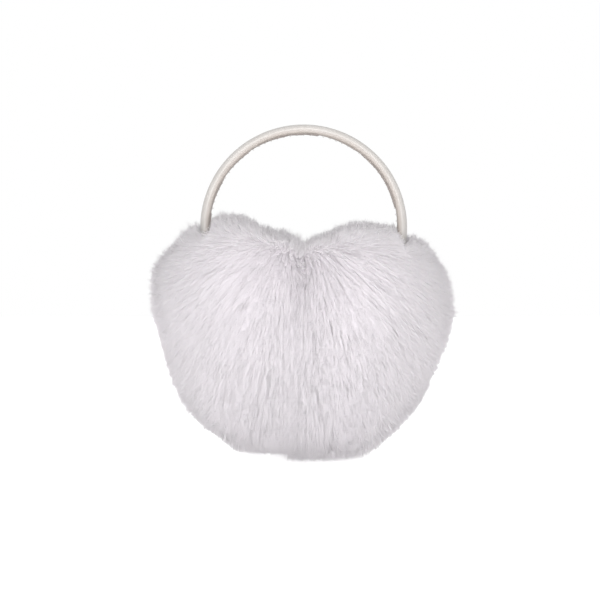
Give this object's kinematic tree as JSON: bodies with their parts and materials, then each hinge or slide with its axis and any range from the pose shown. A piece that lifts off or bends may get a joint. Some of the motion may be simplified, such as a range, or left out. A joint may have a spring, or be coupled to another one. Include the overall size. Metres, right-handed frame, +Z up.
{
  "type": "fur earmuffs",
  "caption": "Fur earmuffs: big round muffs of long fur pressed side by side under a slim wrapped headband that makes a high round arch.",
  "frame": {"origin": "on the surface that the muffs stand on, under the middle of the object's box", "axes": "+Z up through the arch of the headband, -Y the front that the picture shows, +X to the viewer's right"},
  "size_m": [0.1924, 0.1655, 0.2104],
  "materials": {
    "band_cover": "satin",
    "fur": "matte"
  },
  "bodies": {
    "root": {"headband": "band_cover", "left_muff": "fur", "right_muff": "fur"}
  },
  "joints": []
}
